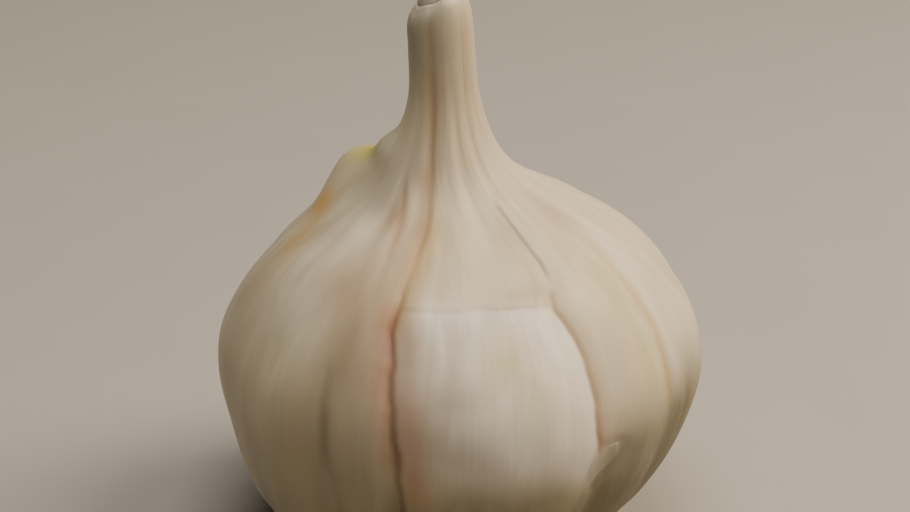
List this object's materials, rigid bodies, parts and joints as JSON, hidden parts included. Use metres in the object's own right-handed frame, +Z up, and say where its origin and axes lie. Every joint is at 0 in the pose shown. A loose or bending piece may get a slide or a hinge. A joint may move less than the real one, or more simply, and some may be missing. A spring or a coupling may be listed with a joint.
{
  "type": "garlic bulb",
  "caption": "Whole dried garlic bulb standing on its cloves: ribbed belly, papery skin torn open over the front clove, slim cut neck and a corky plate with trimmed roots beneath.",
  "frame": {"origin": "middle of the bounding box, on the surface that the bulb rests on", "axes": "+Z up through the neck, -Y the side where the outer skin is torn, +X to its right"},
  "size_m": [0.06, 0.0596, 0.0721],
  "materials": {
    "papery_skin": "satin, dry papery plant skin",
    "dried_stalk": "matt, dry fibres",
    "corky_root": "matt, rough cork"
  },
  "bodies": {
    "root": {"bulb": "papery_skin", "stalk_end": "dried_stalk", "root_plate": "corky_root"}
  },
  "joints": []
}
